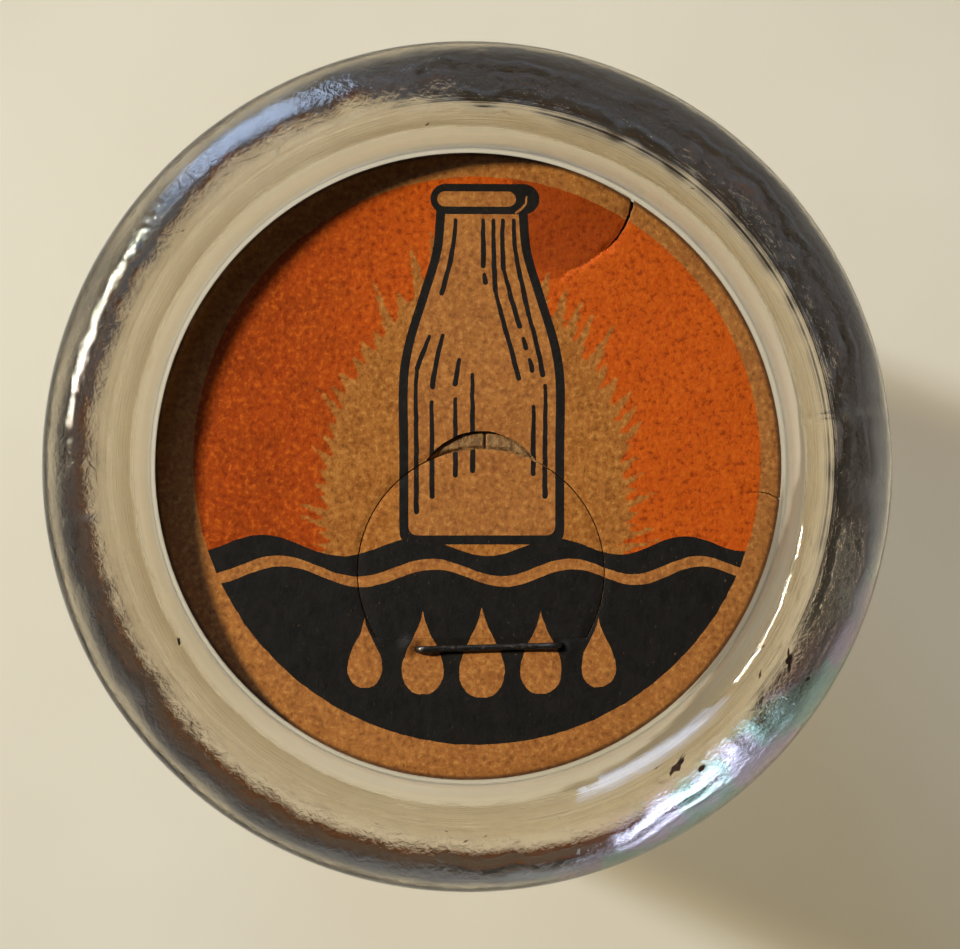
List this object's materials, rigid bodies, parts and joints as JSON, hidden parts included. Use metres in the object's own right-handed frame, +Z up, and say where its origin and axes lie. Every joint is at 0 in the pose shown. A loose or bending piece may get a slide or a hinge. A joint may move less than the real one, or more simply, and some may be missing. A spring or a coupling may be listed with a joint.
{
  "type": "milk bottle",
  "caption": "Round clear-glass milk bottle with a wide beaded lip, sealed by a printed paperboard cap with a stapled pull tab that folds up to lift the cap out.",
  "frame": {"origin": "on the bottle's axis, in the plane that the foot stands on", "axes": "+Z up along the bottle's axis, +Y towards the end of the cap that the pull tab opens from, +X to the right of the cap's print"},
  "size_m": [0.062, 0.062, 0.14],
  "materials": {
    "clear_glass": "fire-polished, with faint ripples from the mould",
    "plain_board": "waxed brown board",
    "printed_board": "brown paperboard printed in orange and black, lightly waxed",
    "staple_wire": "dulled, darkened wire"
  },
  "bodies": {
    "bottle": {"bottle": "clear_glass"},
    "cap": {"cap_board": "plain_board", "cap_facing": "printed_board", "staple": "staple_wire"},
    "pull_tab": {"pull_tab": "printed_board"}
  },
  "joints": [
    {"name": "cap_lift", "type": "slide", "parent": "bottle", "child": "cap", "axis": [0, 0, 1], "range_m": [0, 0.03]},
    {"name": "tab_fold", "type": "hinge", "parent": "cap", "child": "pull_tab", "pos_m": [0.00075, -0.01127, 0.1364], "axis": [1, 0, 0], "range_deg": [0, 120]}
  ]
}
